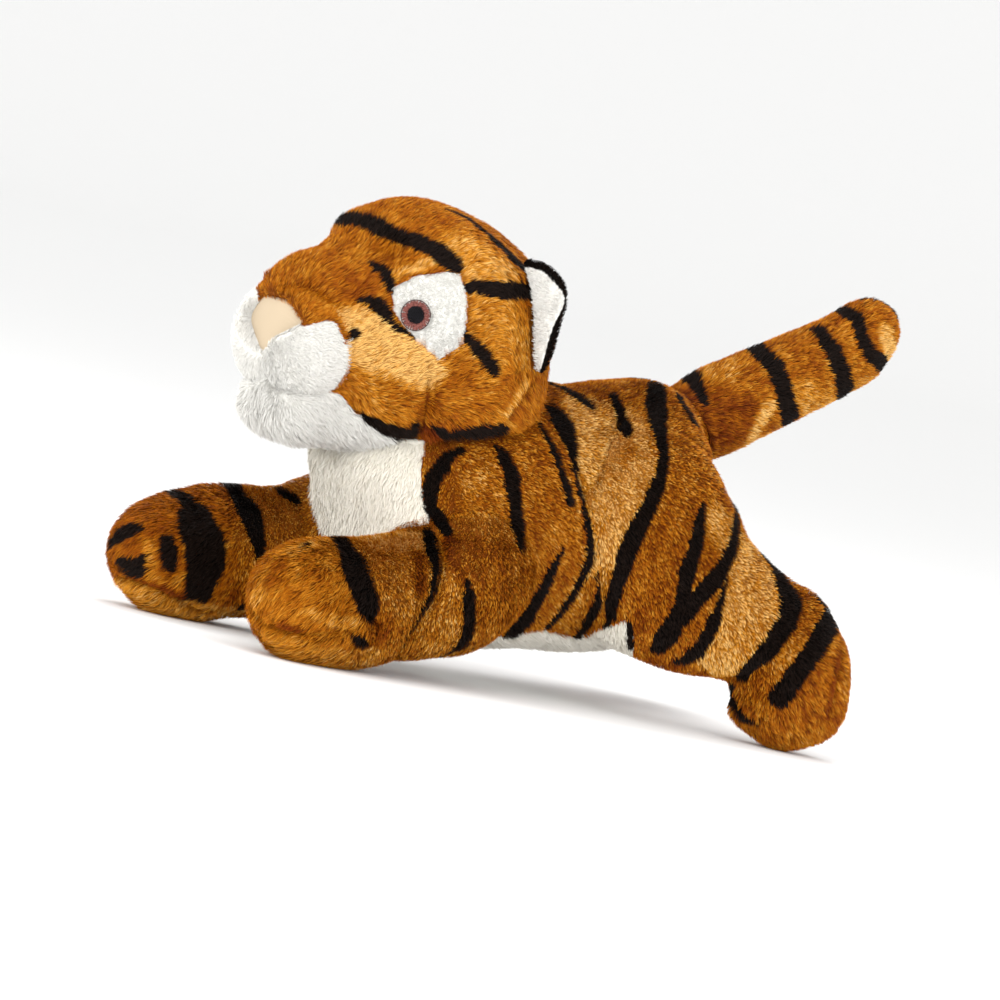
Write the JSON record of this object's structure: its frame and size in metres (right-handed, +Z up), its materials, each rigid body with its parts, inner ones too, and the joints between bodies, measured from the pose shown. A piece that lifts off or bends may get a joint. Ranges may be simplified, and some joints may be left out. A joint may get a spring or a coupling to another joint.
{
  "type": "plush tiger",
  "caption": "Plush tiger lying on outstretched front legs, with a turning head, folding ears, swinging legs and a raised tail.",
  "frame": {"origin": "middle of the toy's bounding box in plan, on the floor under its soles", "axes": "the tiger faces -X, its left side is on -Y, +Z up"},
  "size_m": [0.3546, 0.188, 0.2075],
  "materials": {
    "orange_plush": "matte",
    "white_plush": "matte",
    "peach_velour": "matte",
    "rose_brown_thread": "matte",
    "black_thread": "matte",
    "sewing_thread": "matte",
    "polyester_fibre": "matte"
  },
  "bodies": {
    "torso": {"torso_cover": "orange_plush", "belly_panel": "white_plush", "torso_filling": "polyester_fibre"},
    "neck": {"neck_stitching": "sewing_thread"},
    "head": {"head_cover": "orange_plush", "chin_panel": "white_plush", "head_filling": "polyester_fibre", "nose": "peach_velour", "eye_patch_left": "white_plush", "eye_patch_right": "white_plush", "iris_left": "rose_brown_thread", "iris_right": "rose_brown_thread", "pupil_left": "black_thread", "pupil_right": "black_thread", "muzzle_left": "white_plush", "muzzle_right": "white_plush"},
    "tail_root": {"tail_root_filling": "polyester_fibre"},
    "tail": {"tail_cover": "orange_plush", "tail_filling": "polyester_fibre"},
    "ear_left": {"ear_left_back": "orange_plush", "ear_left_lining": "white_plush"},
    "front_leg_left": {"front_leg_left_cover": "orange_plush", "front_sole_left": "white_plush", "front_leg_left_filling": "polyester_fibre"},
    "hind_leg_left": {"hind_leg_left_cover": "orange_plush", "hind_sole_left": "white_plush", "hind_leg_left_filling": "polyester_fibre"},
    "ear_right": {"ear_right_back": "orange_plush", "ear_right_lining": "white_plush"},
    "front_leg_right": {"front_leg_right_cover": "orange_plush", "front_sole_right": "white_plush", "front_leg_right_filling": "polyester_fibre"},
    "hind_leg_right": {"hind_leg_right_cover": "orange_plush", "hind_sole_right": "white_plush", "hind_leg_right_filling": "polyester_fibre"}
  },
  "joints": [
    {"name": "neck_turn", "type": "hinge", "parent": "torso", "child": "neck", "pos_m": [-0.0593, 0, 0.08], "axis": [-0.5, 0, 0.866], "range_deg": [-15, 15], "stiffness_Nm_per_rad": 1.5},
    {"name": "neck_nod", "type": "hinge", "parent": "neck", "child": "head", "pos_m": [-0.0593, 0, 0.08], "axis": [0, -1, 0], "range_deg": [-4, 8], "stiffness_Nm_per_rad": 1.5},
    {"name": "tail_wag", "type": "hinge", "parent": "torso", "child": "tail_root", "pos_m": [0.0652, 0, 0.128], "axis": [-0.5225, 0, 0.8526], "range_deg": [-15, 15], "stiffness_Nm_per_rad": 0.3},
    {"name": "tail_lift", "type": "hinge", "parent": "tail_root", "child": "tail", "pos_m": [0.0652, 0, 0.128], "axis": [0, 1, 0], "range_deg": [-10, 10], "stiffness_Nm_per_rad": 0.3},
    {"name": "ear_fold_left", "type": "hinge", "parent": "head", "child": "ear_left", "pos_m": [-0.0523, -0.041, 0.168], "axis": [-0.2833, 0.1952, 0.939], "range_deg": [-18, 18], "stiffness_Nm_per_rad": 0.02},
    {"name": "ear_fold_right", "type": "hinge", "parent": "head", "child": "ear_right", "pos_m": [-0.0523, 0.041, 0.168], "axis": [-0.2833, -0.1952, 0.939], "range_deg": [-18, 18], "stiffness_Nm_per_rad": 0.02},
    {"name": "front_swing_left", "type": "hinge", "parent": "torso", "child": "front_leg_left", "pos_m": [-0.0643, -0.04, 0.047], "axis": [0, 1, 0], "range_deg": [-14, 14], "stiffness_Nm_per_rad": 3},
    {"name": "front_swing_right", "type": "hinge", "parent": "torso", "child": "front_leg_right", "pos_m": [-0.0643, 0.04, 0.047], "axis": [0, 1, 0], "range_deg": [-14, 14], "stiffness_Nm_per_rad": 3},
    {"name": "hind_swing_left", "type": "hinge", "parent": "torso", "child": "hind_leg_left", "pos_m": [0.0397, -0.036, 0.08], "axis": [0, 1, 0], "range_deg": [-14, 14], "stiffness_Nm_per_rad": 3},
    {"name": "hind_swing_right", "type": "hinge", "parent": "torso", "child": "hind_leg_right", "pos_m": [0.0397, 0.036, 0.08], "axis": [0, 1, 0], "range_deg": [-14, 14], "stiffness_Nm_per_rad": 3}
  ]
}
